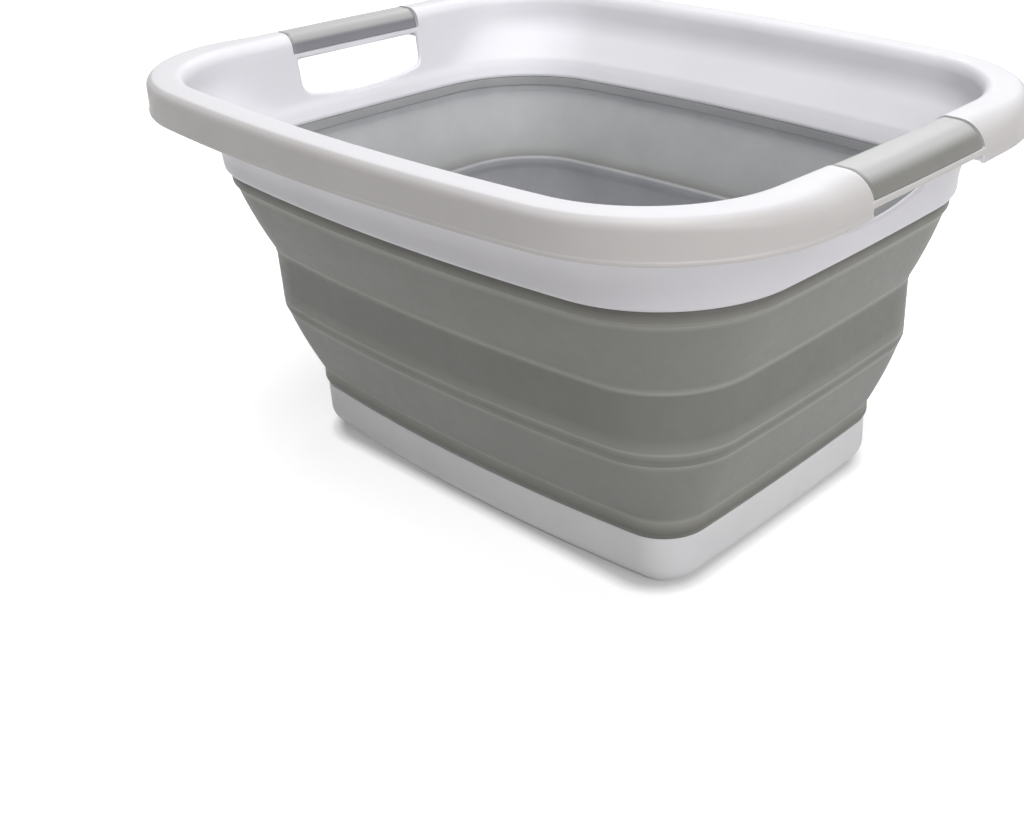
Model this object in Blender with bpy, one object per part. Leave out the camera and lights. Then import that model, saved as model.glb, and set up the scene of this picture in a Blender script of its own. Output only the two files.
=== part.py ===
# Collapsible camp washbasin: a white rim and base tray joined by a soft
# grey bellows that folds flat in two steps, with two grips on the rim.
# Metres, +Z up. The basin stands on its foot ring at z = 0, centred on the
# Z axis, with its long axis along X and a handle at each end.
# Every ring is lofted from one family of bowed rectangular outlines, so a
# section point needs only the half-length of its outline and its height.

import math

import bmesh
import bpy

# Plan outline family
BASE_HALF_WIDTH = 0.1232         # goes with the base tray's half-length
WIDTH_GROWTH_SHARE = 0.965       # half-width gained per half-length gained
FOOT_CORNER = 0.0265             # plan corner radius of the base tray
CORNER_SPREAD_SHARE = 0.70       # corner radius gained per half-length gained
CORNER_LIFT_SHARE = 0.128        # corner radius gained per height gained
TIGHTENING_SHARE = 1.3           # corner radius lost per widening of the long sides
LONG_SIDE_BOW = 1.55             # bow radius of the long sides, at the collar
SHORT_SIDE_BOW = 2.84            # bow radius of the short sides, at the collar

# Half-length of the base tray, and how far each level stands out past the one before
BASE_HALF = 0.178
LOWER_BAND_STEP = 0.0022
LOWER_FOLD_SPREAD = 0.0216
MIDDLE_BAND_FLARE = 0.0020
UPPER_FOLD_SPREAD = 0.0214
COLLAR_STEP = 0.0038
LIP_STEP = 0.0015
LIP_WIDTH = 0.0340
INNER_WIDENING = 0.0132          # how far the collar's top stands out on the long sides
OUTER_WIDENING = 0.0030          # and the lip's outer face

# Heights, from the floor up
FOOT_HEIGHT = 0.0025
BASE_HEIGHT = 0.0392
LOWER_BAND_HEIGHT = 0.0124
LOWER_FOLD_HEIGHT = 0.0502
MIDDLE_BAND_HEIGHT = 0.0483
UPPER_FOLD_HEIGHT = 0.0486
TOP_RING_HEIGHT = 0.0094
RIM_HEIGHT = 0.0651

# Walls and fits
FIT = 0.0003                     # gap between pieces that touch
TRAY_WALL = 0.0025
FOLD_WALL = 0.0022
BAND_WALL = 0.0042
RING_WALL = 0.0069
COLLAR_WALL = 0.0032
LIP_WALL = 0.0026

# Base tray
BASE_ROUNDING = 0.016
BASE_DRAFT = 0.0004
FOOT_INSET_SHARE = 0.69          # of the base rounding
FOOT_WIDTH = 0.0036

# Bellows bands
LAP_DEPTH = 0.0102               # lower band's lap inside the tray wall
LAP_WALL = 0.0016
BAND_SHOULDER = 0.0009           # how far a band stands out from its fold
LOWER_BAND_ROUNDING = 0.0035
MIDDLE_ROUNDING = 0.0100
MIDDLE_UNDERCUT = 0.0015         # how far the middle band draws in at its foot
BEAD_ROUNDING = 0.0012
LEDGE = 0.0020                   # chamfer inside the middle band's top
RING_ROUNDING = 0.0018
RING_UNDERCUT = 0.0018           # how far the ring draws in at its foot
RING_SHADOW_GAP = 0.0024         # recess under the collar edge
RING_CHAMFER = 0.0033            # inside the ring's lower edge
RING_INNER_RISE = 0.0034         # how much higher the ring is on its inside
TONGUE_INSET = 0.0046            # from the collar's face in to the tongue
TONGUE_HEIGHT = 0.0070
TONGUE_WALL = 0.0022

# Rim: collar and lip
COLLAR_DRAFT = 0.0040            # lean of the collar from its foot to the lip
COLLAR_FOOT_ROUNDING = 0.0040
COLLAR_FOOT_WIDTH = 0.0107       # thick foot that holds the bellows tongue
SHOULDER_FOOT = 0.0053           # where the foot's inside starts to slope out
SHOULDER_HEIGHT = 0.0161         # and where that slope meets the collar wall
SHOULDER_ROUNDING = 0.0060
LIP_HEIGHT = 0.0230
LIP_OUTER_ROUNDING = 0.0185
LIP_INNER_ROUNDING = 0.0090
LIP_EDGE_ROUNDING = 0.0008

# Handles
SLOT_HALF_LENGTH = 0.0550
SLOT_HEIGHT = 0.0305
SLOT_SMILE = 0.0070              # how far the slot's floor dips in the middle
SLOT_CORNER = 0.0090
CORNER_RISE_SHARE = 0.8          # height of the slot's lower corners over their width
SLOT_FLARE = 0.0030              # the slot is this much longer where it leaves the lip
BAR_DEPTH = 0.0180               # from the lip's top to the bar's underside
END_WALL = 0.0032
GRIP_HALF_LENGTH = 0.0575
GRIP_WALL = 0.0024
GRIP_SINK = 0.0002               # the grip lies this far below the lip's skin
GRIP_OUTER_DEPTH = 0.0132
GRIP_INNER_DEPTH = 0.0112

END_HALF = 0.0800                # half the length of the rim's ends, out to its long sides

OVERRUN = 0.004                  # cutters run this far past what they cut

# Facets
CORNER_FACETS = 10
LONG_SIDE_FACETS = 6
SHORT_SIDE_FACETS = 6
FILLET_STEP = math.radians(32)
OUTER_CROWN_FACETS = 4
INNER_CROWN_FACETS = 3
BAR_FACETS = 8
SMILE_FACETS = 8
SLOT_CORNER_FACETS = 3

# Half-lengths of the main levels, measured to the outside
LOWER_BAND_HALF = BASE_HALF + LOWER_BAND_STEP
MIDDLE_LOW_HALF = LOWER_BAND_HALF + LOWER_FOLD_SPREAD
MIDDLE_HIGH_HALF = MIDDLE_LOW_HALF + MIDDLE_BAND_FLARE
TOP_RING_HALF = MIDDLE_HIGH_HALF + UPPER_FOLD_SPREAD
COLLAR_HALF = TOP_RING_HALF + COLLAR_STEP
LIP_INNER_HALF = COLLAR_HALF + LIP_STEP
LIP_HALF = LIP_INNER_HALF + LIP_WIDTH

# Heights of the seams between the pieces
LAP_SEAM = BASE_HEIGHT
LOWER_BAND_TOP = LAP_SEAM + FIT + LOWER_BAND_HEIGHT
LOWER_FOLD_TOP = LOWER_BAND_TOP + FIT + LOWER_FOLD_HEIGHT
MIDDLE_TOP = LOWER_FOLD_TOP + FIT + MIDDLE_BAND_HEIGHT
UPPER_FOLD_TOP = MIDDLE_TOP + FIT + UPPER_FOLD_HEIGHT
TOP_RING_TOP = UPPER_FOLD_TOP + FIT + TOP_RING_HEIGHT
RIM_BOTTOM = TOP_RING_TOP + FIT
RIM_TOP = RIM_BOTTOM + RIM_HEIGHT
LIP_BOTTOM = RIM_TOP - LIP_HEIGHT


def circle_meeting(centre_a, radius_a, centre_b, radius_b):
    """The meeting point of two circles that lies furthest towards +X and +Y."""
    dx = centre_b[0] - centre_a[0]
    dy = centre_b[1] - centre_a[1]
    apart = math.hypot(dx, dy)
    along = (radius_a ** 2 - radius_b ** 2 + apart ** 2) / (2 * apart)
    aside = math.sqrt(radius_a ** 2 - along ** 2)
    foot = (centre_a[0] + along * dx / apart, centre_a[1] + along * dy / apart)
    options = [(foot[0] + side * aside * dy / apart, foot[1] - side * aside * dx / apart)
               for side in (1, -1)]
    return max(options, key=sum)


def arc(centre, radius, start, end, steps):
    """Points of an arc, both ends included."""
    turns = [start + (end - start) * i / steps for i in range(steps + 1)]
    return [(centre[0] + radius * math.cos(t), centre[1] + radius * math.sin(t)) for t in turns]


def outline(half_length, height, widening=0):
    """One plan outline: four bowed sides and four round corners, anticlockwise."""
    spread = half_length - BASE_HALF
    half_width = BASE_HALF_WIDTH + WIDTH_GROWTH_SHARE * spread + widening
    corner = FOOT_CORNER + CORNER_SPREAD_SHARE * spread + CORNER_LIFT_SHARE * height
    corner -= TIGHTENING_SHARE * widening
    long_bow = LONG_SIDE_BOW + half_length - COLLAR_HALF
    short_bow = SHORT_SIDE_BOW + half_length - COLLAR_HALF
    long_centre = (0, half_width - long_bow)
    short_centre = (half_length - short_bow, 0)
    corner_centre = circle_meeting(long_centre, long_bow - corner,
                                   short_centre, short_bow - corner)
    short_turn = math.atan2(corner_centre[1], corner_centre[0] - short_centre[0])
    long_turn = math.atan2(corner_centre[1] - long_centre[1], corner_centre[0])
    quarter = arc(short_centre, short_bow, 0, short_turn, SHORT_SIDE_FACETS // 2)
    quarter += arc(corner_centre, corner, short_turn, long_turn, CORNER_FACETS)[1:]
    quarter += arc(long_centre, long_bow, long_turn, math.pi / 2, LONG_SIDE_FACETS // 2)[1:]
    left = [(-x, y) for x, y in reversed(quarter[:-1])]
    upper = quarter + left
    lower = [(x, -y) for x, y in reversed(upper[1:-1])]
    return upper + lower


def short_side_inset(y, half_length):
    """How far the bowed short side has come in from its middle, at a given y."""
    bow = SHORT_SIDE_BOW + half_length - COLLAR_HALF
    return bow - math.sqrt(bow ** 2 - y ** 2)


def rounded(corners):
    """Turns (half_length, height, fillet) corners of a closed section into points."""
    points = []
    for index, (a, z, fillet) in enumerate(corners):
        before = corners[index - 1]
        after = corners[(index + 1) % len(corners)]
        to_before = math.atan2(before[1] - z, before[0] - a)
        to_after = math.atan2(after[1] - z, after[0] - a)
        opening = (to_after - to_before) % (2 * math.pi)
        if fillet == 0:
            points.append((a, z))
            continue
        side = 1 if opening < math.pi else -1
        half = min(opening, 2 * math.pi - opening) / 2
        middle = to_before + side * half
        centre = (a + fillet / math.sin(half) * math.cos(middle),
                  z + fillet / math.sin(half) * math.sin(middle))
        start = to_before - side * math.pi / 2
        sweep = side * (math.pi - 2 * half)
        steps = max(2, math.ceil(abs(sweep) / FILLET_STEP))
        points += arc(centre, fillet, start, start - sweep, steps)
    return points


def material(name, red, green, blue, roughness):
    """A plain Principled material with the colour that the piece shows."""
    made = bpy.data.materials.new(name)
    made.use_nodes = True
    shader = made.node_tree.nodes["Principled BSDF"]
    shader.inputs["Base Color"].default_value = (red, green, blue, 1)
    shader.inputs["Roughness"].default_value = roughness
    shader.inputs["Metallic"].default_value = 0
    return made


def collection(name):
    made = bpy.data.collections.new(name)
    bpy.context.scene.collection.children.link(made)
    return made


def object_from(name, mesh_builder, home, finish):
    """Makes one named mesh object and checks that its faces point outwards."""
    mesh = bpy.data.meshes.new(name)
    mesh_builder.verts.index_update()
    bmesh.ops.recalc_face_normals(mesh_builder, faces=mesh_builder.faces[:])
    if mesh_builder.calc_volume(signed=True) < 0:
        bmesh.ops.reverse_faces(mesh_builder, faces=mesh_builder.faces[:])
    mesh_builder.to_mesh(mesh)
    mesh_builder.free()
    made = bpy.data.objects.new(name, mesh)
    home.objects.link(made)
    if finish is not None:
        mesh.materials.append(finish)
    return made


def loft(sections_points, closed):
    """Joins equal loops of points side to side; closed joins the last to the first."""
    shape = bmesh.new()
    loops = [[shape.verts.new(point) for point in loop] for loop in sections_points]
    around = len(loops[0])
    pairs = len(loops) if closed else len(loops) - 1
    for index in range(pairs):
        low = loops[index]
        high = loops[(index + 1) % len(loops)]
        for step in range(around):
            following = (step + 1) % around
            shape.faces.new((low[step], low[following], high[following], high[step]))
    if not closed:
        shape.faces.new(list(reversed(loops[0])))
        shape.faces.new(loops[-1])
    return shape


def no_widening(half_length, height):
    return 0


def lip_widening(half_length, height):
    """How much the rim stands further out on its long sides, from the shoulder up."""
    shoulder_top = RIM_BOTTOM + SHOULDER_HEIGHT
    up = (height - shoulder_top) / (LIP_BOTTOM - shoulder_top)
    skirt_inner = LIP_HALF - LIP_WALL
    inwards = (skirt_inner - half_length) / (skirt_inner - LIP_INNER_HALF)
    gain = (INNER_WIDENING - OUTER_WIDENING) * min(max(inwards, 0), 1)
    return (OUTER_WIDENING + gain) * min(max(up, 0), 1)


def ring(name, section, home, finish, closed=True, widening=no_widening):
    """A ring lofted round the basin from a section of (half_length, height) points."""
    loops = [[(x, y, z) for x, y in outline(a, z, widening(a, z))] for a, z in section]
    made = object_from(name, loft(loops, closed), home, finish)
    made.data.shade_smooth()
    made.data.set_sharp_from_angle(angle=FILLET_STEP)
    return made


def end_bar(name, section, half_length_y, end, home, finish):
    """A straight run of the rim's short side: a section carried along Y, bowed as the rim is."""
    loops = []
    for step in range(BAR_FACETS + 1):
        y = half_length_y * (2 * step / BAR_FACETS - 1)
        inset = short_side_inset(y, LIP_HALF)
        loops.append([(end * (a - inset), y, z) for a, z in section])
    made = object_from(name, loft(loops, False), home, finish)
    made.data.shade_smooth()
    made.data.set_sharp_from_angle(angle=FILLET_STEP)
    return made


def hide_as_cutter(made):
    made.hide_render = True
    made.display_type = "WIRE"


def boolean(target, other, operation):
    """Adds or cuts one shape and applies it, so that later steps meet a plain mesh."""
    step = target.modifiers.new(operation.lower(), "BOOLEAN")
    step.object = other
    step.operation = operation
    step.solver = "EXACT"
    depsgraph = bpy.context.evaluated_depsgraph_get()
    result = bpy.data.meshes.new_from_object(target.evaluated_get(depsgraph))
    target.modifiers.remove(step)
    old = target.data
    target.data = result
    bpy.data.meshes.remove(old)


def block(name, low, high, home):
    """A plain block between two opposite corners."""
    shape = bmesh.new()
    bmesh.ops.create_cube(shape, size=1)
    size = [top - bottom for bottom, top in zip(low, high)]
    middle = [(top + bottom) / 2 for bottom, top in zip(low, high)]
    bmesh.ops.scale(shape, vec=size, verts=shape.verts)
    bmesh.ops.translate(shape, vec=middle, verts=shape.verts)
    return object_from(name, shape, home, None)


def part_ring(name, whole, low, high, look, home, cutters):
    """Parts a ring into its two ends and its two long sides, a fit apart."""
    outside = LIP_HALF + OVERRUN
    side_start = END_HALF + FIT
    parts_of_ring = {
        "end_right": ((0, -END_HALF, low), (outside, END_HALF, high)),
        "end_left": ((-outside, -END_HALF, low), (0, END_HALF, high)),
        "side_front": ((-outside, -outside, low), (outside, -side_start, high)),
        "side_back": ((-outside, side_start, low), (outside, outside, high))}
    for place, (low_corner, high_corner) in parts_of_ring.items():
        part_name = name + "_" + place
        made = bpy.data.objects.new(part_name, whole.data.copy())
        home.objects.link(made)
        bounds = block(part_name + "_bounds", low_corner, high_corner, cutters)
        boolean(made, bounds, "INTERSECT")
        hide_as_cutter(bounds)
        made.data.materials.clear()
        made.data.materials.append(material(part_name, *look))
        made.data.shade_smooth()
        made.data.set_sharp_from_angle(angle=FILLET_STEP)


def lip_crown(offset, low_outer, low_inner):
    """The lip's rounded top as section points, drawn in by an offset, outer end first."""
    inner = LIP_INNER_HALF + offset
    outer = LIP_HALF - offset
    top = RIM_TOP - offset
    outer_radius = LIP_OUTER_ROUNDING - offset
    inner_radius = LIP_INNER_ROUNDING - offset
    outer_centre = (outer - outer_radius, top - outer_radius)
    inner_centre = (inner + inner_radius, top - inner_radius)
    outer_rise = (low_outer - outer_centre[1]) / outer_radius
    inner_rise = (low_inner - inner_centre[1]) / inner_radius
    outer_turn = math.asin(outer_rise) if outer_rise > 0 else 0
    inner_turn = math.asin(inner_rise) if inner_rise > 0 else 0
    points = [(outer, low_outer)] if outer_rise < 0 else []
    points += arc(outer_centre, outer_radius, outer_turn, math.pi / 2, OUTER_CROWN_FACETS)
    points += arc(inner_centre, inner_radius, math.pi / 2, math.pi - inner_turn,
                  INNER_CROWN_FACETS)
    if inner_rise < 0:
        points.append((inner, low_inner))
    return points


def base_tray(home):
    """White tray: rounded lower edge, foot ring and flat floor."""
    outer_centre = (BASE_HALF - BASE_ROUNDING, FOOT_HEIGHT + BASE_ROUNDING)
    foot_outer = BASE_HALF - FOOT_INSET_SHARE * BASE_ROUNDING
    foot_turn = -math.acos((foot_outer - outer_centre[0]) / BASE_ROUNDING)
    inner_rounding = BASE_ROUNDING - TRAY_WALL
    foot_inner = foot_outer - FOOT_WIDTH
    section = [(foot_inner, FOOT_HEIGHT), (foot_inner, 0), (foot_outer, 0)]
    section += arc(outer_centre, BASE_ROUNDING, foot_turn, 0, 4)
    section += [(BASE_HALF + BASE_DRAFT, LAP_SEAM),
                (BASE_HALF + BASE_DRAFT - TRAY_WALL, LAP_SEAM)]
    section += arc(outer_centre, inner_rounding, 0, -math.pi / 2, 4)
    finish = material("white_polypropylene_tray", 0.78, 0.78, 0.79, 0.42)
    return ring("base_tray", section, home, finish, closed=False)


def lower_band(home):
    """Grey ring that laps inside the tray wall and carries the lower fold."""
    seat = LAP_SEAM + FIT
    tray_inner = BASE_HALF + BASE_DRAFT - TRAY_WALL
    lap_outer = tray_inner - FIT
    lap_inner = lap_outer - LAP_WALL
    top_outer = LOWER_BAND_HALF - BAND_SHOULDER / 2
    section = rounded([
        (BASE_HALF + BASE_DRAFT, seat, 0),
        (LOWER_BAND_HALF, seat + LOWER_BAND_ROUNDING, LOWER_BAND_ROUNDING),
        (top_outer, LOWER_BAND_TOP, 0),
        (top_outer - BAND_WALL, LOWER_BAND_TOP, 0),
        (lap_inner, seat, 0),
        (lap_inner, seat - LAP_DEPTH, 0),
        (lap_outer, seat - LAP_DEPTH, 0),
        (lap_outer, seat, 0)])
    finish = material("grey_elastomer_lower_band", 0.16, 0.16, 0.15, 0.55)
    return ring("bellows_bottom_band", section, home, finish)


def fold(name, low_outer, low, high_outer, high, home, finish):
    """A thin sloping fold panel between two bands."""
    section = [(low_outer, low), (high_outer, high),
               (high_outer - FOLD_WALL, high), (low_outer - FOLD_WALL, low)]
    return ring(name, section, home, finish)


def lower_fold(home):
    """Lower folding panel, from the bottom band out to the middle band."""
    finish = material("grey_elastomer_lower_fold", 0.19, 0.19, 0.18, 0.55)
    low_outer = LOWER_BAND_HALF - BAND_SHOULDER / 2 - BAND_SHOULDER
    high_outer = MIDDLE_LOW_HALF - MIDDLE_UNDERCUT - BAND_SHOULDER
    return fold("bellows_lower_fold", low_outer, LOWER_BAND_TOP + FIT,
                high_outer, LOWER_FOLD_TOP, home, finish)


def middle_band(home):
    """Stiff grey band between the folds, thicker than they are."""
    low = LOWER_FOLD_TOP + FIT
    low_outer = MIDDLE_LOW_HALF - MIDDLE_UNDERCUT
    section = rounded([
        (low_outer, low, 0),
        (MIDDLE_LOW_HALF, low + MIDDLE_ROUNDING / 2, MIDDLE_ROUNDING),
        (MIDDLE_HIGH_HALF, MIDDLE_TOP, BEAD_ROUNDING),
        (MIDDLE_HIGH_HALF - BAND_WALL + LEDGE, MIDDLE_TOP, 0),
        (MIDDLE_HIGH_HALF - BAND_WALL, MIDDLE_TOP - LEDGE, 0),
        (MIDDLE_LOW_HALF - BAND_WALL, low + MIDDLE_ROUNDING, 0),
        (low_outer - BAND_WALL, low, 0)])
    finish = material("grey_elastomer_middle_band", 0.14, 0.14, 0.13, 0.55)
    return ring("bellows_middle_band", section, home, finish)


def upper_fold(home):
    """Upper folding panel, from the middle band out to the ring under the collar."""
    finish = material("grey_elastomer_upper_fold", 0.19, 0.19, 0.18, 0.55)
    low_outer = MIDDLE_HIGH_HALF - BAND_SHOULDER
    high_outer = TOP_RING_HALF - RING_UNDERCUT - BAND_SHOULDER
    return fold("bellows_upper_fold", low_outer, MIDDLE_TOP + FIT,
                high_outer, UPPER_FOLD_TOP, home, finish)


def tongue_span():
    """Inner and outer half-length of the tongue that locks the bellows to the rim."""
    outer = COLLAR_HALF - TONGUE_INSET
    return outer - TONGUE_WALL, outer


def top_ring(home, cutters):
    """Grey bead under the collar, with a tongue up into the collar's foot, in four parts."""
    low = UPPER_FOLD_TOP + FIT
    tongue_inner, tongue_outer = tongue_span()
    ring_inner = TOP_RING_HALF - RING_WALL
    tongue_top = TOP_RING_TOP + TONGUE_HEIGHT
    inner_top = TOP_RING_TOP + RING_INNER_RISE
    section = rounded([
        (TOP_RING_HALF - RING_UNDERCUT, low, 0),
        (TOP_RING_HALF, low + RING_ROUNDING, RING_ROUNDING),
        (TOP_RING_HALF, TOP_RING_TOP - RING_SHADOW_GAP, RING_ROUNDING),
        (tongue_outer, TOP_RING_TOP, 0),
        (tongue_outer, tongue_top, 0),
        (tongue_inner, tongue_top, 0),
        (tongue_inner, inner_top, 0),
        (ring_inner, inner_top, 0),
        (ring_inner, low + RING_CHAMFER, 0),
        (ring_inner + RING_CHAMFER / 2, low, 0)])
    whole = ring("whole_top_ring", section, cutters, None)
    hide_as_cutter(whole)
    part_ring("bellows_top_ring", whole, low - OVERRUN, tongue_top + OVERRUN,
              (0.15, 0.15, 0.14, 0.55), home, cutters)


def rim_section():
    """Collar wall with its thick foot and groove, and the lip rolled over its top."""
    tongue_inner, tongue_outer = tongue_span()
    groove_inner = tongue_inner - FIT
    groove_outer = tongue_outer + FIT
    groove_top = TOP_RING_TOP + TONGUE_HEIGHT + FIT
    foot_inner = COLLAR_HALF - COLLAR_FOOT_WIDTH
    foot_low = RIM_BOTTOM + RING_INNER_RISE
    wall_inner = COLLAR_HALF - COLLAR_WALL
    shoulder_top = RIM_BOTTOM + SHOULDER_HEIGHT
    under_lip = RIM_TOP - LIP_WALL
    wall_top_outer = COLLAR_HALF + COLLAR_DRAFT
    lip_inner_face = LIP_HALF - LIP_WALL
    return rounded([
        (groove_outer, RIM_BOTTOM, 0),
        (COLLAR_HALF, RIM_BOTTOM, COLLAR_FOOT_ROUNDING),
        (wall_top_outer, under_lip, LIP_INNER_ROUNDING / 2),
        (lip_inner_face, under_lip, LIP_OUTER_ROUNDING - LIP_WALL),
        (lip_inner_face, LIP_BOTTOM, LIP_EDGE_ROUNDING),
        (LIP_HALF, LIP_BOTTOM, LIP_EDGE_ROUNDING),
        (LIP_HALF, RIM_TOP, LIP_OUTER_ROUNDING),
        (LIP_INNER_HALF, RIM_TOP, LIP_INNER_ROUNDING),
        (wall_inner, shoulder_top, SHOULDER_ROUNDING),
        (foot_inner, RIM_BOTTOM + SHOULDER_FOOT, SHOULDER_ROUNDING / 2),
        (foot_inner, foot_low, LIP_EDGE_ROUNDING),
        (groove_inner, foot_low, 0),
        (groove_inner, groove_top, 0),
        (groove_outer, groove_top, 0)])


def slot_face(half_length):
    """The finger slot seen from the end: a smiling floor between two round corners."""
    slot_top = RIM_TOP - BAR_DEPTH
    lowest = slot_top - SLOT_HEIGHT
    side_low = lowest + SLOT_SMILE
    smile_radius = (half_length ** 2 + SLOT_SMILE ** 2) / (2 * SLOT_SMILE)
    reach = half_length - SLOT_CORNER
    half_turn = math.asin(reach / smile_radius)
    floor_points = arc((0, lowest + smile_radius), smile_radius,
                       -math.pi / 2 - half_turn, -math.pi / 2 + half_turn, SMILE_FACETS)
    floor_end = floor_points[-1][1]
    rise = side_low + SLOT_CORNER * CORNER_RISE_SHARE - floor_end
    quarter = arc((reach, floor_end + rise), 1, -math.pi / 2, 0, SLOT_CORNER_FACETS)
    right = [(reach + (y - reach) * SLOT_CORNER, floor_end + rise + (z - floor_end - rise) * rise)
             for y, z in quarter[1:]]
    right.append((half_length, slot_top))
    left = [(-y, z) for y, z in reversed(right)]
    return floor_points + right + left


def slot_cutter(name, end, home):
    """Cuts the finger slot from inside the basin out past the lip, flaring as it goes."""
    inner = COLLAR_HALF - COLLAR_FOOT_WIDTH - OVERRUN
    outer = LIP_HALF + OVERRUN
    inner_face = [(end * inner, y, z) for y, z in slot_face(SLOT_HALF_LENGTH)]
    outer_face = [(end * outer, y, z) for y, z in slot_face(SLOT_HALF_LENGTH + SLOT_FLARE)]
    return object_from(name, loft([inner_face, outer_face], False), home, None)


def collar_middle(z):
    """Half-length of the collar wall's mid-thickness at a height."""
    wall_inner = COLLAR_HALF - COLLAR_WALL
    up_share = (z - RIM_BOTTOM - SHOULDER_HEIGHT) / (RIM_HEIGHT - SHOULDER_HEIGHT)
    lean_inner = (LIP_INNER_HALF - wall_inner) * up_share
    lean_outer = COLLAR_DRAFT * (z - RIM_BOTTOM) / (RIM_HEIGHT - LIP_WALL)
    return (wall_inner + lean_inner + COLLAR_HALF + lean_outer) / 2


def handle(rim, end, home):
    """Fills the lip at one end, opens the slot under the bar and cuts the grip's seat."""
    side = "right" if end > 0 else "left"
    fill_low = LIP_BOTTOM + LIP_EDGE_ROUNDING
    fill_section = lip_crown(LIP_WALL / 2, fill_low, RIM_TOP - LIP_INNER_ROUNDING)
    fill_section.append((collar_middle(fill_low), fill_low))
    fill_half = SLOT_HALF_LENGTH + SLOT_FLARE + END_WALL
    fill = end_bar("lip_fill_" + side, fill_section, fill_half, end, home, None)
    slot = slot_cutter("slot_cutter_" + side, end, home)
    seat = end_bar("grip_seat_" + side, grip_seat_section(), GRIP_HALF_LENGTH + FIT, end,
                   home, None)
    boolean(rim, fill, "UNION")
    boolean(rim, slot, "DIFFERENCE")
    boolean(rim, seat, "DIFFERENCE")
    for made in (fill, slot, seat):
        hide_as_cutter(made)


def grip_seat_section():
    """What is cut out of the rim for the grip: its saddle, run out past the lip."""
    outer_low = RIM_TOP - GRIP_OUTER_DEPTH - FIT
    inner_low = RIM_TOP - GRIP_INNER_DEPTH - FIT
    inner_face = COLLAR_HALF - COLLAR_WALL - OVERRUN
    outer_face = LIP_HALF + OVERRUN
    return lip_crown(GRIP_SINK + GRIP_WALL + FIT, outer_low, inner_low) + [
        (inner_face, inner_low), (inner_face, RIM_TOP + OVERRUN),
        (outer_face, RIM_TOP + OVERRUN), (outer_face, outer_low)]


def grip(end, home):
    """Soft grey saddle over the bar, flush with the lip on both sides of it."""
    side = "right" if end > 0 else "left"
    outer_low = RIM_TOP - GRIP_OUTER_DEPTH
    inner_low = RIM_TOP - GRIP_INNER_DEPTH
    skin = lip_crown(GRIP_SINK, outer_low, inner_low)
    under = lip_crown(GRIP_SINK + GRIP_WALL, outer_low, inner_low)
    finish = material("grey_elastomer_grip_" + side, 0.30, 0.31, 0.29, 0.5)
    return end_bar("handle_grip_" + side, skin + under[::-1], GRIP_HALF_LENGTH, end, home, finish)


def whole_rim(cutters):
    """The rim as one moulding: collar, lip and both handle bars. It is a guide to its parts."""
    rim = ring("whole_rim", rim_section(), cutters, None, widening=lip_widening)
    for end in (1, -1):
        handle(rim, end, cutters)
    hide_as_cutter(rim)
    return rim


def rim(home, cutters):
    """White rim in four parts: the two ends with their handles, and the two long sides."""
    part_ring("rim", whole_rim(cutters), RIM_BOTTOM - OVERRUN, RIM_TOP + OVERRUN,
              (0.80, 0.80, 0.81, 0.40), home, cutters)


for leftover in list(bpy.data.objects):
    bpy.data.objects.remove(leftover, do_unlink=True)

parts = collection("collapsible_washbasin")
cutter_home = collection("cutters")
base_tray(parts)
lower_band(parts)
lower_fold(parts)
middle_band(parts)
upper_fold(parts)
top_ring(parts, cutter_home)
rim(parts, cutter_home)
grip(1, parts)
grip(-1, parts)
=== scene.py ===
# Collapsible camp washbasin: a white rim and a white base tray joined by a soft
# grey bellows in five zones, with a grey grip over the bar at each end.
# It is built from the floor up, one section for each moulding. Metres, +Z up.

import math

import bmesh
import bpy
from mathutils import Matrix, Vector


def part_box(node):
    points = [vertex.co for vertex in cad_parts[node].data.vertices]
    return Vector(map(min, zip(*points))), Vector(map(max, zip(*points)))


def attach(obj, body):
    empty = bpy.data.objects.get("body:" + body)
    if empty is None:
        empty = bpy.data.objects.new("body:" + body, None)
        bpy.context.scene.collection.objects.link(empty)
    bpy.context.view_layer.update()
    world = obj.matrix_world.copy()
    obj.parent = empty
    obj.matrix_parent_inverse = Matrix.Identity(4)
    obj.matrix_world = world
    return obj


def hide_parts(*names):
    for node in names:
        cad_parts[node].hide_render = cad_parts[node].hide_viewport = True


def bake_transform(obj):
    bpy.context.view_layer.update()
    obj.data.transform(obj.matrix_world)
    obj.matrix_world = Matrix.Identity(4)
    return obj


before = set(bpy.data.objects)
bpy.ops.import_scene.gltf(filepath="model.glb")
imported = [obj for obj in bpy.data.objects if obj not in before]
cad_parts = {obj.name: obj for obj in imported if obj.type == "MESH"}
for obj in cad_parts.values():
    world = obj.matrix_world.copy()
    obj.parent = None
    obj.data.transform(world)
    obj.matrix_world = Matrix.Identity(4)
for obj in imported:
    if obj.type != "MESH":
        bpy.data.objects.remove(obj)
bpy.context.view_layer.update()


# Base tray: one injection moulding in white polypropylene with a rounded lower
# edge, standing on a narrow foot ring. The bellows is overmoulded into its wall,
# so the wall simply ends under the grey band.

tray_half = 0.178
tray_half_width = 0.1232
tray_corner = 0.0265
tray_wall = 0.0025
tray_draft = 0.0004
tray_rounding = 0.016
tray_middle = 0.028
tray_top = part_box("base_tray")[1].z
foot_height = 0.0025
foot_half = 0.16696
foot_width = 0.0036
foot_edge = 0.0004

# How the plan of the tray grows into the plans above it: by its half-length, by the
# height, and where a piece stands further out on its long sides. The radii of the bowed
# sides and ends are those at the collar's foot.
width_growth = 0.965
corner_growth = 0.70
corner_opening = 0.128
corner_loss = 1.3
collar_half = 0.2290
side_bow = 1.55
end_bow = 2.84
end_steps = 6
corner_steps = 24
side_steps = 10


def arc(centre, radius, start, end, steps):
    """Points of an arc, both ends included."""
    turns = [start + (end - start) * i / steps for i in range(steps + 1)]
    return [(centre[0] + radius * math.cos(t), centre[1] + radius * math.sin(t)) for t in turns]


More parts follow.
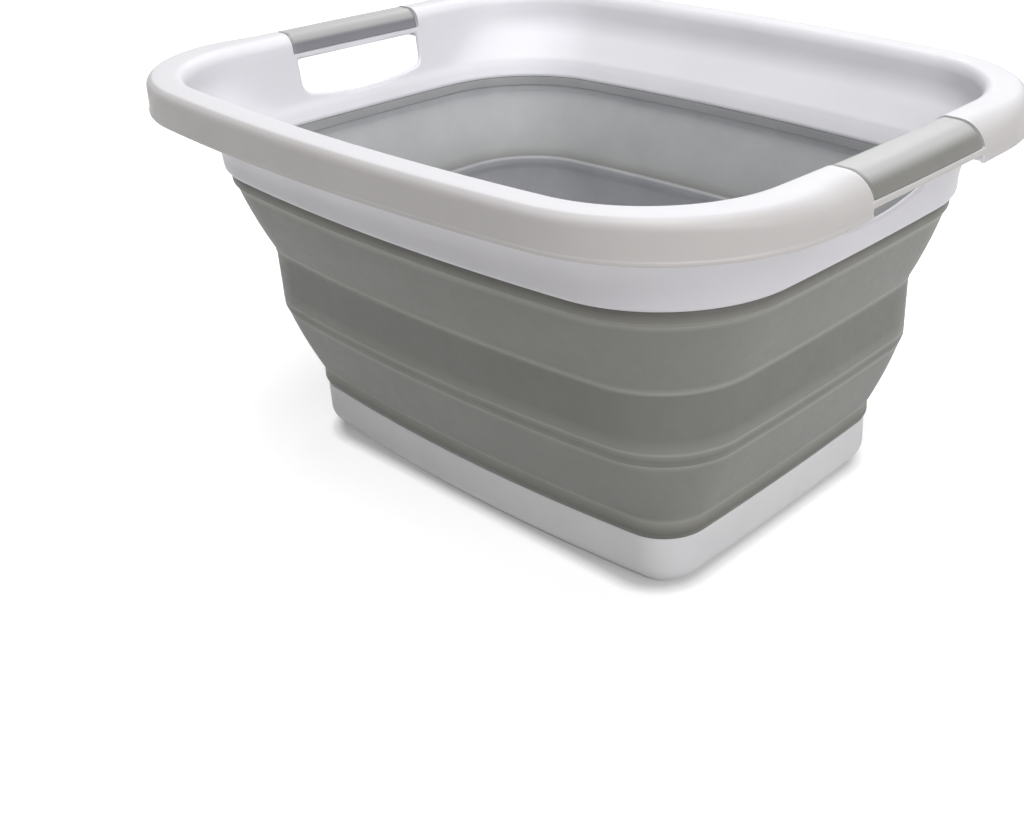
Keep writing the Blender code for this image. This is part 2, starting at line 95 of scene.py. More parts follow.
def corner_centre(long_centre, long_radius, short_centre, short_radius):
    """Where the centre of a plan corner lies, so that it runs into both bowed sides."""
    dx = short_centre[0] - long_centre[0]
    dy = short_centre[1] - long_centre[1]
    apart = math.hypot(dx, dy)
    along = (long_radius ** 2 - short_radius ** 2 + apart ** 2) / (2 * apart)
    aside = math.sqrt(long_radius ** 2 - along ** 2)
    foot = (long_centre[0] + along * dx / apart, long_centre[1] + along * dy / apart)
    return max([(foot[0] + side * aside * dy / apart, foot[1] - side * aside * dx / apart)
                for side in (1, -1)], key=sum)


def outline(half_length, height, widening=0.0):
    """The plan of every moulding at one level: four bowed sides and four round corners."""
    spread = half_length - tray_half
    half_width = tray_half_width + width_growth * spread + widening
    corner = (tray_corner + corner_growth * spread + corner_opening * height
              - corner_loss * widening)
    long_bow = side_bow + half_length - collar_half
    short_bow = end_bow + half_length - collar_half
    long_centre = (0.0, half_width - long_bow)
    short_centre = (half_length - short_bow, 0.0)
    middle = corner_centre(long_centre, long_bow - corner, short_centre, short_bow - corner)
    short_turn = math.atan2(middle[1], middle[0] - short_centre[0])
    long_turn = math.atan2(middle[1] - long_centre[1], middle[0])
    quarter = arc(short_centre, short_bow, 0, short_turn, end_steps)
    quarter += arc(middle, corner, short_turn, long_turn, corner_steps)[1:]
    quarter += arc(long_centre, long_bow, long_turn, math.pi / 2, side_steps)[1:]
    upper = quarter + [(-x, y) for x, y in reversed(quarter[:-1])]
    return upper + [(x, -y) for x, y in reversed(upper[1:-1])]


def rounded(corners, step=math.radians(14)):
    """Turns (half_length, height, fillet) corners of a closed section into section points."""
    points = []
    for index, (a, z, fillet) in enumerate(corners):
        before = corners[index - 1]
        after = corners[(index + 1) % len(corners)]
        to_before = math.atan2(before[1] - z, before[0] - a)
        to_after = math.atan2(after[1] - z, after[0] - a)
        opening = (to_after - to_before) % math.tau
        if fillet == 0:
            points.append((a, z))
            continue
        side = 1 if opening < math.pi else -1
        half = min(opening, math.tau - opening) / 2
        reach = fillet / math.sin(half)
        centre = (a + reach * math.cos(to_before + side * half),
                  z + reach * math.sin(to_before + side * half))
        start = to_before - side * math.pi / 2
        sweep = side * (math.pi - 2 * half)
        points += arc(centre, fillet, start, start - sweep, max(2, math.ceil(abs(sweep) / step)))
    return points


def filled_in(section, guide=None, longest=0.009):
    """Adds section points along long straight walls, as many as its guide section needs."""
    guide = guide or section
    points = []
    for index, (a, z) in enumerate(section):
        after = section[(index + 1) % len(section)]
        run = math.dist(guide[index], guide[(index + 1) % len(section)])
        parts = max(1, math.ceil(run / longest))
        points += [(a + (after[0] - a) * i / parts, z + (after[1] - z) * i / parts)
                   for i in range(parts)]
    return points


def start_loop(name, count):
    """Adds a circle of loose edges and opens it for editing, to be laid and extruded."""
    bpy.ops.object.select_all(action="DESELECT")
    bpy.ops.mesh.primitive_circle_add(vertices=count, radius=0.1)
    piece = bpy.context.active_object
    piece.name = name
    piece.data.name = name
    bpy.ops.object.mode_set(mode="EDIT")
    return piece, list(range(count))


def lay(piece, order, points):
    """Moves the loop's corners, in their order round it, to their places."""
    mesh = bmesh.from_edit_mesh(piece.data)
    mesh.verts.ensure_lookup_table()
    for index, point in zip(order, points):
        mesh.verts[index].co = point
    bmesh.update_edit_mesh(piece.data)


def extrude_loop(piece, order):
    """Extrudes the open loop and returns the new corners in the same order."""
    bpy.ops.mesh.extrude_edges_move()
    mesh = bmesh.from_edit_mesh(piece.data)
    mesh.verts.index_update()
    mesh.verts.ensure_lookup_table()
    fresh = []
    for index in order:
        corner = mesh.verts[index]
        fresh.append(next(edge.other_vert(corner).index for edge in corner.link_edges
                          if edge.other_vert(corner).select))
    return fresh


def select_open_ends(piece, wanted=lambda edge: True):
    """Selects the edges that bound a hole, all of them or those that are wanted."""
    bpy.ops.mesh.select_all(action="DESELECT")
    mesh = bmesh.from_edit_mesh(piece.data)
    for edge in mesh.edges:
        if edge.is_boundary and wanted(edge):
            edge.select_set(True)
    bmesh.update_edit_mesh(piece.data)


def finish_mesh(piece, sharp=math.radians(38)):
    """Turns every face outwards, leaves edit mode and shades the piece."""
    bpy.ops.mesh.select_all(action="SELECT")
    bpy.ops.mesh.remove_doubles(threshold=0.00001)
    bpy.ops.mesh.normals_make_consistent(inside=False)
    bpy.ops.object.mode_set(mode="OBJECT")
    bpy.ops.object.shade_smooth_by_angle(angle=sharp)


def moulded_ring(name, section, closed=True, widening=lambda a, z: 0.0, side_section=None,
                 side_shares=None):
    """Builds a moulding that runs round the basin, level by level along its section. A
    side section takes over where the side shares are 1."""
    piece, order = start_loop(name, len(outline(tray_half, 0)))
    for number, (a, z) in enumerate(section):
        if number:
            order = extrude_loop(piece, order)
        loop = [(x, y, z) for x, y in outline(a, z, widening(a, z))]
        if side_section:
            a, z = side_section[number]
            side_loop = [(x, y, z) for x, y in outline(a, z, widening(a, z))]
            loop = [tuple(p + (q - p) * share for p, q in zip(point, side_point))
                    for point, side_point, share in zip(loop, side_loop, side_shares)]
        lay(piece, order, loop)
    if closed:
        select_open_ends(piece)
        bpy.ops.mesh.bridge_edge_loops()
        finish_mesh(piece)
    return piece


def linear(hex_colour):
    """An sRGB hex colour as the linear colour that a shader takes."""
    parts = [int(hex_colour[i:i + 2], 16) / 255 for i in (1, 3, 5)]
    return tuple(c / 12.92 if c <= 0.04045 else ((c + 0.055) / 1.055) ** 2.4
                 for c in parts) + (1.0,)


def add(tree, kind, links=(), **settings):
    """Adds a node, sets what belongs to the node or to its sockets, and links its inputs."""
    node = tree.nodes.new(kind)
    for key, value in settings.items():
        if hasattr(node, key):
            setattr(node, key, value)
        else:
            node.inputs[key.replace("_", " ")].default_value = value
    for socket, source in dict(links).items():
        tree.links.new(source, node.inputs[socket])
    return node


def polypropylene(name, light, dark):
    """White polypropylene, injection moulded: a satin skin with a fine mould grain, slight
    sink and flow marks that bend its highlights, and a very slightly uneven white. The
    grain is drawn about four times as coarse as it is, or it wouldn't show."""
    flow_size = 0.055
    scuff_size = 0.011
    sink_size = 0.024
    grain_size = 0.0007
    made = bpy.data.materials.new(name)
    made.use_nodes = True
    tree = made.node_tree
    shader = tree.nodes["Principled BSDF"]
    place = add(tree, "ShaderNodeTexCoord").outputs["Object"]
    flow = add(tree, "ShaderNodeTexNoise", {"Vector": place}, Scale=1 / flow_size,
               Detail=4.0, Roughness=0.55)
    tone = add(tree, "ShaderNodeValToRGB", {"Fac": flow.outputs["Fac"]})
    tone.color_ramp.elements[0].position = 0.32
    tone.color_ramp.elements[0].color = linear(dark)
    tone.color_ramp.elements[1].position = 0.66
    tone.color_ramp.elements[1].color = linear(light)
    tree.links.new(tone.outputs["Color"], shader.inputs["Base Color"])
    scuff = add(tree, "ShaderNodeTexNoise", {"Vector": place}, Scale=1 / scuff_size,
                Detail=5.0, Roughness=0.7)
    gloss = add(tree, "ShaderNodeMapRange", {"Value": scuff.outputs["Fac"]},
                **{"From_Min": 0.3, "From_Max": 0.7, "To_Min": 0.36, "To_Max": 0.50})
    tree.links.new(gloss.outputs["Result"], shader.inputs["Roughness"])
    sink = add(tree, "ShaderNodeTexNoise", {"Vector": place}, Scale=1 / sink_size,
               Detail=1.0)
    waves = add(tree, "ShaderNodeBump", {"Height": sink.outputs["Fac"]}, Strength=0.35,
                Distance=0.0006)
    grain = add(tree, "ShaderNodeTexNoise", {"Vector": place}, Scale=1 / grain_size,
                Detail=2.0)
    skin = add(tree, "ShaderNodeBump",
               {"Height": grain.outputs["Fac"], "Normal": waves.outputs["Normal"]},
               Strength=0.12, Distance=0.00012)
    tree.links.new(skin.outputs["Normal"], shader.inputs["Normal"])
    shader.inputs["IOR"].default_value = 1.49
    return made


tray_round_centre = (tray_half - tray_rounding, foot_height + tray_rounding)
foot_turn = -math.acos((foot_half - tray_round_centre[0]) / tray_rounding)
foot_inner_side = foot_half - foot_width
tray_section = [(foot_inner_side - foot_edge, foot_height),
                (foot_inner_side, foot_edge),
                (foot_inner_side + foot_edge, 0.0),
                (foot_half - foot_edge, 0.0),
                (foot_half, foot_edge)]
tray_section += arc(tray_round_centre, tray_rounding, foot_turn, 0, 10)
tray_section += [(tray_half + tray_draft / 2, tray_middle),
                 (tray_half + tray_draft, tray_top - tray_draft),
                 (tray_half, tray_top),
                 (tray_half + tray_draft - tray_wall, tray_top),
                 (tray_half + tray_draft / 2 - tray_wall, tray_middle)]
tray_section += arc(tray_round_centre, tray_rounding - tray_wall, 0, -math.pi / 2, 8)
base_tray = moulded_ring("tray_moulding", tray_section, closed=False)

# The floor and the underside are closed by one face each, with two narrow rings of faces
# round it that keep it flat up to its edge.
between_skins = foot_height + 0.001
for at_floor in (True, False):
    select_open_ends(base_tray, lambda edge: (edge.verts[0].co.z > between_skins) == at_floor)
    bpy.ops.mesh.edge_face_add()
    for ring_width in (0.003, 0.012):
        bpy.ops.mesh.inset(thickness=ring_width)
finish_mesh(base_tray)
white_tray = polypropylene("moulded_white_polypropylene_tray", "#E9E9EB", "#E3E3E6")
base_tray.data.materials.append(white_tray)
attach(base_tray, "base")
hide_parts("base_tray")


# Bellows, bottom band: the thick grey edge of the elastomer moulding, lapped
# inside the tray's wall and standing a little proud of it. It is stiff enough to
# keep its shape while the fold above it turns over.

def elastomer(name, outside, inside, highlight_colour, bloom=0.10, satin=(0.50, 0.64)):
    """Thermoplastic elastomer, moulded from a spark-eroded tool: matt and slightly dusty,
    with a painted highlight in the highlight colour along its ridges and bends, painted light
    that makes its inner skin cooler and paler, and a faint cloudy unevenness from the outside
    or the painted-lit inside pair of colours. The grain is drawn about four times as coarse
    as it is, or it wouldn't show."""
    cloud_size = 0.045
    dust_size = 0.006
    slack_size = 0.030
    grain_size = 0.0008
    made = bpy.data.materials.new(name)
    made.use_nodes = True
    tree = made.node_tree
    shader = tree.nodes["Principled BSDF"]
    place = add(tree, "ShaderNodeTexCoord").outputs["Object"]
    cloud = add(tree, "ShaderNodeTexNoise", {"Vector": place}, Scale=1 / cloud_size,
                Detail=6.0, Roughness=0.6)
    tones = []
    for light, dark in (outside, inside):
        tone = add(tree, "ShaderNodeValToRGB", {"Fac": cloud.outputs["Fac"]})
        tone.color_ramp.elements[0].position = 0.30
        tone.color_ramp.elements[0].color = linear(dark)
        tone.color_ramp.elements[1].position = 0.70
        tone.color_ramp.elements[1].color = linear(light)
        tones.append(tone.outputs["Color"])
    painted_inner_light = add(tree, "ShaderNodeAttribute", attribute_name="painted_inner_light").outputs["Fac"]
    # Painted light: the inner skin takes the paler, cooler inside pair of colours.
    painted_inner_tone = add(tree, "ShaderNodeMix", {0: painted_inner_light}, data_type="RGBA")
    tree.links.new(tones[0], painted_inner_tone.inputs[6])
    tree.links.new(tones[1], painted_inner_tone.inputs[7])
    # Painted highlight: the highlight colour is mixed in along ridges, bead edges and fold
    # roots.
    painted_highlight = add(tree, "ShaderNodeAttribute", attribute_name="painted_highlight").outputs["Fac"]
    painted_light = add(tree, "ShaderNodeMix", {0: painted_highlight}, data_type="RGBA")
    painted_light.inputs[7].default_value = linear(highlight_colour)
    tree.links.new(painted_inner_tone.outputs[2], painted_light.inputs[6])
    tree.links.new(painted_light.outputs[2], shader.inputs["Base Color"])
    dust = add(tree, "ShaderNodeTexNoise", {"Vector": place}, Scale=1 / dust_size,
               Detail=5.0, Roughness=0.7)
    gloss = add(tree, "ShaderNodeMapRange", {"Value": dust.outputs["Fac"]},
                **{"From_Min": 0.3, "From_Max": 0.7, "To_Min": satin[0],
                   "To_Max": satin[1]})
    tree.links.new(gloss.outputs["Result"], shader.inputs["Roughness"])
    slack = add(tree, "ShaderNodeTexNoise", {"Vector": place}, Scale=1 / slack_size,
                Detail=1.5)
    waves = add(tree, "ShaderNodeBump", {"Height": slack.outputs["Fac"]}, Strength=0.5,
                Distance=0.0012)
    grain = add(tree, "ShaderNodeTexNoise", {"Vector": place}, Scale=1 / grain_size,
                Detail=2.0)
    skin = add(tree, "ShaderNodeBump",
               {"Height": grain.outputs["Fac"], "Normal": waves.outputs["Normal"]},
               Strength=0.25, Distance=0.00015)
    tree.links.new(skin.outputs["Normal"], shader.inputs["Normal"])
    shader.inputs["IOR"].default_value = 1.5
    shader.inputs["Sheen Weight"].default_value = bloom
    shader.inputs["Sheen Roughness"].default_value = 0.5
    return made


def mark_skin(piece, section, spots, reach, painted_fade_heights=None):
    """Paints highlights on the skin, strongest at the (half_length, height) spots, and paints
    light on it where it faces inwards, which is where its section runs down. On a fold that
    painted inner light grows from the first to the second given height, over painted shade at
    its root, and only its outer skin gets the painted highlight."""
    facing_gain = 1.6
    top_inner_light = 0.85
    foot_inner_light = 0.37
    root_inner_light = 0.15
    root_shade_fade = 2.0
    for mark in ("painted_highlight", "painted_inner_light"):
        piece.data.attributes.new(mark, "FLOAT", "POINT")
    per_loop = len(outline(tray_half, 0))
    for number, (a, z) in enumerate(section):
        near = min(math.dist((a, z), spot) for spot in spots)
        before = section[number - 1]
        after = section[(number + 1) % len(section)]
        painted_highlight = max(0.0, 1.0 - near / reach)
        facing_in = facing_gain * (before[1] - after[1]) / math.dist(before, after)
        painted_inner_light = min(max(facing_in, 0.0), 1.0)
        if painted_fade_heights:
            painted_highlight *= 1 - painted_inner_light
            up = (z - painted_fade_heights[0]) / (painted_fade_heights[1] - painted_fade_heights[0])
            painted_inner_light = min(painted_inner_light, foot_inner_light + (top_inner_light - foot_inner_light) * up,
                         root_inner_light + root_shade_fade * up)
        for index in range(number * per_loop, (number + 1) * per_loop):
            piece.data.attributes["painted_highlight"].data[index].value = painted_highlight
            piece.data.attributes["painted_inner_light"].data[index].value = painted_inner_light


band_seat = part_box("bellows_lower_fold")[0].z - 0.0003
lower_band_half = 0.1802
band_wall = 0.0042
band_lip = tray_top + 0.0002
lap_outer = tray_half + tray_draft - tray_wall - 0.0003
lap_inner = lap_outer - 0.0016
lap_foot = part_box("bellows_bottom_band")[0].z
bottom_section = filled_in(rounded([
    (tray_half + tray_draft, band_lip, 0),
    (lower_band_half, tray_top + 0.0038, 0.0035),
    (lower_band_half, band_seat, 0.0003),
    (lower_band_half - band_wall, band_seat, 0.0012),
    (lap_inner, tray_top - 0.0015, 0.003),
    (lap_inner, lap_foot, 0.0004),
    (lap_outer, lap_foot, 0),
    (lap_outer, band_lip, 0)]))
bottom_band = moulded_ring("bellows_foot_band", bottom_section)
mark_skin(bottom_band, bottom_section, [(lower_band_half, band_seat)], reach=0.0024)
grey_edge = elastomer("moulded_grey_elastomer_edge", ("#6B6A65", "#656460"),
                      ("#AAABAF", "#9FA0A4"), "#97978F")
bottom_band.data.materials.append(grey_edge)
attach(bottom_band, "base")
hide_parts("bellows_bottom_band")


# Bellows, lower fold: the thin panel that turns over when the basin is pressed
# flat. It bulges slightly outwards, and is rooted in the bands below and above it.

fold_wall = 0.0022
fold_bulge = 0.0012
fold_rows = 22
fold_reach = 0.0040
band_shoulder = 0.0001
seam = 0.0006
middle_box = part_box("bellows_middle_band")
middle_low_half = 0.2018
middle_undercut = 0.0015


def fold_section(low_half, low, high_half, high):
    """A closed thin section between two bands, bowed outwards by the bulge."""
    outer = []
    for row in range(fold_rows + 1):
        share = row / fold_rows
        bow = fold_bulge * 4 * share * (1 - share)
        outer.append((low_half + (high_half - low_half) * share + bow,
                      low + (high - low) * share))
    inner = [(a - fold_wall, z) for a, z in reversed(outer)]
    return outer + inner


lower_fold_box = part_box("bellows_lower_fold")
lower_section = fold_section(lower_band_half - band_shoulder, lower_fold_box[0].z - seam,
                             middle_low_half - middle_undercut - band_shoulder,
                             lower_fold_box[1].z + seam)
lower_fold = moulded_ring("bellows_fold_low", lower_section)
mark_skin(lower_fold, lower_section, [lower_section[0], lower_section[fold_rows]],
          fold_reach, painted_fade_heights=(lower_fold_box[0].z, lower_fold_box[1].z))
grey_fold = elastomer("moulded_grey_elastomer_fold", ("#7F7F7B", "#797975"),
                      ("#D5D7D9", "#C7C9CC"), "#9A9A94", bloom=0.14)
lower_fold.data.materials.append(grey_fold)
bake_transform(lower_fold)
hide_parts("bellows_lower_fold")


# Bellows, middle band: the stiff zone between the folds, nearly upright. A bead runs
# along its top edge, outside and in, and a finer one just above the bend at its foot.

middle_high_half = 0.2038
low_half = middle_low_half - middle_undercut
middle_low = middle_box[0].z
middle_high = middle_box[1].z
foot_bead = middle_low + 0.0086
inner_bead_half = middle_high_half - band_wall - 0.0016
middle_section = filled_in(rounded([
    (low_half, middle_low, 0.0002),
    (middle_low_half - 0.0001, middle_low + 0.0036, 0.0036),
    (middle_low_half, middle_low + 0.0074, 0.0020),
    (middle_low_half + 0.00025, foot_bead, 0.0020),
    (middle_low_half + 0.0001, middle_low + 0.0098, 0.0020),
    (middle_high_half - 0.0006, middle_high - 0.0028, 0.0006),
    (middle_high_half, middle_high - 0.0020, 0.0007),
    (middle_high_half, middle_high, 0.0003),
    (inner_bead_half, middle_high, 0.0026),
    (inner_bead_half, middle_high - 0.0056, 0.0026),
    (middle_high_half - band_wall, middle_high - 0.0100, 0.0040),
    (middle_low_half - band_wall, middle_low + 0.010, 0.004),
    (low_half - band_wall, middle_low, 0.0006)]))
middle_band = moulded_ring("bellows_mid_band", middle_section)
mark_skin(middle_band, middle_section,
          [(middle_high_half, middle_high), (middle_low_half, foot_bead)], reach=0.0022)
grey_band = elastomer("moulded_grey_elastomer_band", ("#777773", "#71716D"),
                      ("#AAABAF", "#9FA0A4"), "#9D9D97")
middle_band.data.materials.append(grey_band)
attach(middle_band, "middle")
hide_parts("bellows_middle_band")


# Bellows, upper fold: the same thin panel again, from the middle band out to the
# ring under the collar.

ring_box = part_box("bellows_top_ring_side_front")
ring_half = 0.2252
ring_undercut = 0.0018
upper_fold_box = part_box("bellows_upper_fold")
upper_section = fold_section(middle_high_half - band_shoulder, upper_fold_box[0].z - seam,
                             ring_half - ring_undercut - band_shoulder,
                             upper_fold_box[1].z + seam)
upper_fold = moulded_ring("bellows_fold_high", upper_section)
mark_skin(upper_fold, upper_section, [upper_section[0], upper_section[fold_rows]],
          fold_reach, painted_fade_heights=(upper_fold_box[0].z, upper_fold_box[1].z))
upper_fold.data.materials.append(grey_fold)
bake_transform(upper_fold)
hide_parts("bellows_upper_fold")


# Bellows, top ring: a thick bead under the collar, with a tongue that is moulded
# up into the collar's foot and holds the bellows to the rim. Inside, it steps back
# above the fold.

ring_low = ring_box[0].z
ring_top = 0.2096
ring_lap = 0.0034
tongue_outer = 0.2244
tongue_inner = 0.2222
ring_inner = ring_half - 0.0069
ring_step = 0.0026
ring_step_height = 0.0048
top_section = filled_in(rounded([
    (ring_half - ring_undercut, ring_low, 0),
    (ring_half, ring_low + 0.0020, 0.0016),
    (ring_half, ring_top - 0.0024, 0.0020),
    (tongue_outer, ring_top, 0),
    (tongue_outer, ring_box[1].z, 0.0004),
    (tongue_inner, ring_box[1].z, 0.0004),
    (tongue_inner, ring_top + ring_lap, 0),
    (ring_inner, ring_top + ring_lap, 0.0003),
    (ring_inner, ring_low + 0.0060, 0.0012),
    (ring_inner + ring_step, ring_low + ring_step_height, 0.0008),
    (ring_inner + ring_step, ring_low, 0)]))
top_ring = moulded_ring("bellows_collar_ring", top_section)
mark_skin(top_ring, top_section, [(ring_half, ring_low + 0.0010)], reach=0.0030)

# Painted shade: the painted inner light is cut back here, more on the step's face than on the
# strip under it, which runs on from the fold.
face_inner_light = 0.60
strip_inner_light = 0.87
ring_inner_light = top_ring.data.attributes["painted_inner_light"]
for corner in top_ring.data.vertices:
    on_face = corner.co.z > ring_low + ring_step_height + 0.0004
    ring_inner_light.data[corner.index].value *= face_inner_light if on_face else strip_inner_light
grey_ring = elastomer("moulded_grey_elastomer_ring", ("#6B6A65", "#656460"),
                      ("#D5D7D9", "#C7C9CC"), "#97978F")
top_ring.data.materials.append(grey_ring)
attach(top_ring, "rim")
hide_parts("bellows_top_ring_end_right", "bellows_top_ring_end_left",
            "bellows_top_ring_side_front", "bellows_top_ring_side_back")


# Rim: one white polypropylene moulding. A leaning collar carries a wide lip that
# rolls over and down outside, and at each end the lip is filled to make a bar with
# a finger slot under it. The slot's edges are rounded so that they don't cut.

rim_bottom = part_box("rim_side_front")[0].z
rim_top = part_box("rim_side_front")[1].z
collar_wall = 0.0032
collar_draft = 0.0040
lip_inner = 0.2305
lip_half = 0.2645
lip_wall = 0.0026
lip_bottom = rim_top - 0.0230
shoulder_top = rim_bottom + 0.0161
collar_inner = collar_half - collar_wall
lip_outer_rounding = 0.0185
lip_side_rounding = 0.0062
lip_bead = 0.0005
lip_inner_rounding = 0.0090
side_skirt_out = 0.0030
side_mouth_out = 0.0102
slot_half = 0.0550
slot_flare = 0.0030
slot_top = rim_top - 0.0180
slot_low = slot_top - 0.0305
slot_smile = 0.0070
slot_corner = 0.0090
slot_top_corner = 0.0016
slot_top_ease = 0.0005
slot_edge = 0.0019


def lip_widening(a, z):
    """How much the rim stands further out on its long sides, where the lip is narrower."""
    up = min(max((z - shoulder_top) / (lip_bottom - shoulder_top), 0.0), 1.0)
    skirt_inner = lip_half - lip_wall
    inwards = min(max((skirt_inner - a) / (skirt_inner - lip_inner), 0.0), 1.0)
    return (side_skirt_out + side_mouth_out * inwards) * up


def end_inset(y):
    """How far the bowed end of the rim has come in from its middle, at a given y."""
    bow = end_bow + lip_half - collar_half
    return bow - math.sqrt(bow ** 2 - y ** 2)


def end_run(name, section_at, half_y, end, rounding=0.0, steps=12):
    """A short run of moulding across one end, bowed as the rim is. Its section, given for
    each y, is carried along Y, with extra loops where the ends are rounded."""
    turns = [rounding * (1 - math.cos(math.radians(t))) for t in (0, 20, 40, 60, 80)]
    stops = [-half_y + turn for turn in turns] if rounding else []
    inner = half_y - rounding
    stops += [inner * (2 * step / steps - 1) for step in range(steps + 1)]
    stops += [half_y - turn for turn in reversed(turns)] if rounding else []
    piece, order = start_loop(name, len(section_at(0)))
    for number, y in enumerate(stops):
        if number:
            order = extrude_loop(piece, order)
        lay(piece, order, [(end * (a - end_inset(y)), y, z) for a, z in section_at(y)])
    select_open_ends(piece, lambda edge: edge.verts[0].co.y < 0)
    bpy.ops.mesh.edge_face_add()
    select_open_ends(piece)
    bpy.ops.mesh.edge_face_add()
    finish_mesh(piece)
    return piece


def lip_crown(offset, low_outer, low_inner, fine=10):
    """The lip's rounded top as section points, drawn in by an offset, outer end first."""
    outer_radius = lip_outer_rounding - offset
    inner_radius = lip_inner_rounding - offset
    outer_centre = (lip_half - offset - outer_radius, rim_top - offset - outer_radius)
    inner_centre = (lip_inner + offset + inner_radius, rim_top - offset - inner_radius)
    outer_rise = (low_outer - outer_centre[1]) / outer_radius
    inner_rise = (low_inner - inner_centre[1]) / inner_radius
    outer_turn = math.asin(outer_rise) if outer_rise > 0 else 0
    inner_turn = math.asin(inner_rise) if inner_rise > 0 else 0
    points = [(lip_half - offset, low_outer)] if outer_rise < 0 else []
    points += arc(outer_centre, outer_radius, outer_turn, math.pi / 2, fine)
    points += arc(inner_centre, inner_radius, math.pi / 2, math.pi - inner_turn, fine - 2)
    if inner_rise < 0:
        points.append((collar_face(low_inner, True) + offset, low_inner))
    return points


def slot_shape(half, grow, grow_top):
    """The finger slot seen from the end, its floor dipping in the middle, as (y, z) points."""
    lowest = slot_low - grow
    side_low = lowest + slot_smile
    radius = (half ** 2 + slot_smile ** 2) / (2 * slot_smile)
    reach = half - slot_corner
    corner_height_share = 0.8
    half_turn = math.asin(reach / radius)
    floor_points = arc((0, lowest + radius), radius, -math.pi / 2 - half_turn,
                       -math.pi / 2 + half_turn, 24)
    floor_end = floor_points[-1][1]
    rise = side_low + slot_corner * corner_height_share - floor_end
    quarter = arc((0, 0), 1, -math.pi / 2, 0, 8)[1:]
    right = [(reach + y * slot_corner, floor_end + rise + z * rise) for y, z in quarter]
    top = slot_top + grow_top
    right += [(half, top - slot_top_corner), (half - slot_top_ease, top - slot_top_ease),
              (half - slot_top_corner, top)]
    return floor_points + right + [(-y, z) for y, z in reversed(right)]


def collar_face(z, inner):
    """Half-length of the collar's inner or outer face at a height."""
    if inner:
        lowest_share = -0.2
        share = max((z - shoulder_top) / (rim_top - shoulder_top), lowest_share)
        return collar_inner + (lip_inner - collar_inner) * share
    return collar_half + collar_draft * (z - rim_bottom) / (rim_top - lip_wall - rim_bottom)


def slot_cutter(name, end):
    """The slot's core, flared at the collar's faces and at the lip to round the edges. Each
    loop is laid on a face, at a depth past it, and is grown all round, at its top and in
    length."""
    between_collar_and_lip = 0.245
    past_face = 0.006
    past_collar = 0.004
    mouth = slot_edge * 1.5
    wide = slot_edge * 2
    turns = [math.radians(t) for t in (0, 18, 36, 54, 72, 90)]
    soft = [(slot_edge * (1 - math.cos(t)), slot_edge * (1 - math.sin(t))) for t in turns]
    loops = [("inner", -past_face, mouth, mouth, 0)]
    loops += [("inner", depth, grow, grow, 0) for depth, grow in soft]
    loops += [("outer", -depth, grow, 0, 0) for depth, grow in reversed(soft)]
    loops += [("outer", past_collar, wide, 0, slot_flare / 3)]
    loops += [("lip", -depth, wide, grow, slot_flare + grow / 2)
              for depth, grow in reversed(soft)]
    loops += [("lip", past_face, wide, mouth, slot_flare + slot_edge)]
    piece, order = start_loop(name, len(slot_shape(slot_half, 0, 0)))
    for number, (face, depth, grow, grow_top, longer) in enumerate(loops):
        if number:
            order = extrude_loop(piece, order)
        half = slot_half + longer + (grow if face != "lip" else 0)
        spots = []
        for y, z in slot_shape(half, grow, grow_top):
            level = lip_half if face == "lip" else collar_face(z, face == "inner")
            spots.append((end * (level + depth - end_inset(y)), y, z))
        lay(piece, order, spots)
    for sign in (1, -1):
        select_open_ends(
            piece, lambda edge: sign * (abs(edge.verts[0].co.x) - between_collar_and_lip) > 0)
        bpy.ops.mesh.edge_face_add()
    finish_mesh(piece)
    return piece


def cut_or_join(target, tool, operation):
    """Applies one Boolean step and throws the tool away."""
    bpy.ops.object.select_all(action="DESELECT")
    target.select_set(True)
    bpy.context.view_layer.objects.active = target
    bpy.ops.object.modifier_add(type="BOOLEAN")
    step = target.modifiers[-1]
    step.operation = operation
    step.solver = "EXACT"
    step.object = tool
    bpy.ops.object.modifier_apply(modifier=step.name)
    bpy.data.objects.remove(tool)


grip_wall = 0.0024
grip_sink = 0.0002
grip_gap = 0.0003
grip_half = 0.0574
grip_end_gap = 0.0008
grip_end_rounding = 0.0032
grip_outer_low = rim_top - 0.0132
grip_inner_low = rim_top - 0.0136

foot_inner = collar_half - 0.0107
tongue_gap = 0.0003
under_lip = rim_top - lip_wall
groove_top = ring_box[1].z + tongue_gap


def rim_section(outer_rounding):
    """The rim's section with the given rounding where the lip turns down outside."""
    return rounded([
        (tongue_outer + tongue_gap, rim_bottom, 0),
        (collar_half, rim_bottom, 0.0040),
        (collar_half + collar_draft, under_lip, lip_inner_rounding / 2),
        (lip_half - lip_wall, under_lip, outer_rounding - lip_wall),
        (lip_half - lip_wall, lip_bottom, 0.0006),
        (lip_half + lip_bead, lip_bottom, 0.0013),
        (lip_half + lip_bead, lip_bottom + 0.0022, 0.0008),
        (lip_half, lip_bottom + 0.0032, 0.0010),
        (lip_half, rim_top, outer_rounding - 0.0002),
        (lip_inner, rim_top, lip_inner_rounding),
        (collar_inner, shoulder_top, 0.0110),
        (foot_inner, rim_bottom + 0.0053, 0.0030),
        (foot_inner, rim_bottom + ring_lap, 0.0003),
        (tongue_inner - tongue_gap, rim_bottom + ring_lap, 0),
        (tongue_inner - tongue_gap, groove_top, 0),
        (tongue_outer + tongue_gap, groove_top, 0)], step=math.radians(9))


# The lip's rounding tightens from just past the bars at the ends to the long sides.
past_bar = 0.066
at_side = 0.185
side_shares = []
for x, y in outline(lip_half, rim_top):
    way = min(max((abs(y) - past_bar) / (at_side - past_bar), 0.0), 1.0)
    side_shares.append(1 - (1 - way) ** 2)
side_lip = rim_section(lip_side_rounding)
rim = moulded_ring("rim_moulding", filled_in(rim_section(lip_outer_rounding), side_lip),
                   widening=lip_widening, side_section=filled_in(side_lip),
                   side_shares=side_shares)

